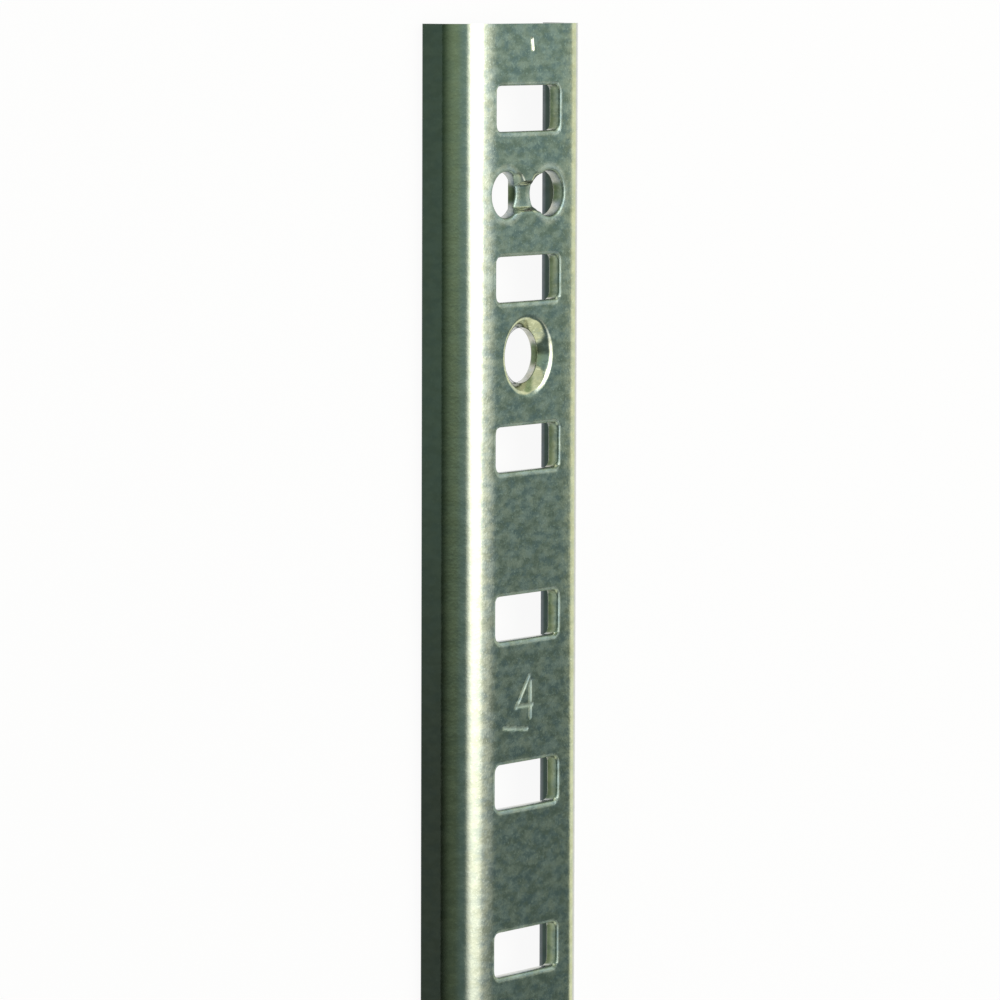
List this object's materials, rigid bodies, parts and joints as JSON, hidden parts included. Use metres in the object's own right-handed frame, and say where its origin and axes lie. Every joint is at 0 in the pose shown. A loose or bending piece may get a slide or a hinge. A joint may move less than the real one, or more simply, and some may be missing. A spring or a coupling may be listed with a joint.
{
  "type": "shelf standard",
  "caption": "Zinc plated steel shelf standard: a shallow slotted channel for shelf clips, with countersunk screw holes.",
  "frame": {"origin": "centre of the strip's footprint, at the level of its flange edges", "axes": "+Y along the strip towards its top end, +X across it to the right as seen from the slotted face with the top end up, +Z out of the slotted face"},
  "size_m": [0.0158, 0.6096, 0.004],
  "materials": {
    "zinc_plated_steel": "zinc plated, dull with a soft sheen and fine mottling"
  },
  "bodies": {
    "root": {"shelf_standard": "zinc_plated_steel"}
  },
  "joints": []
}
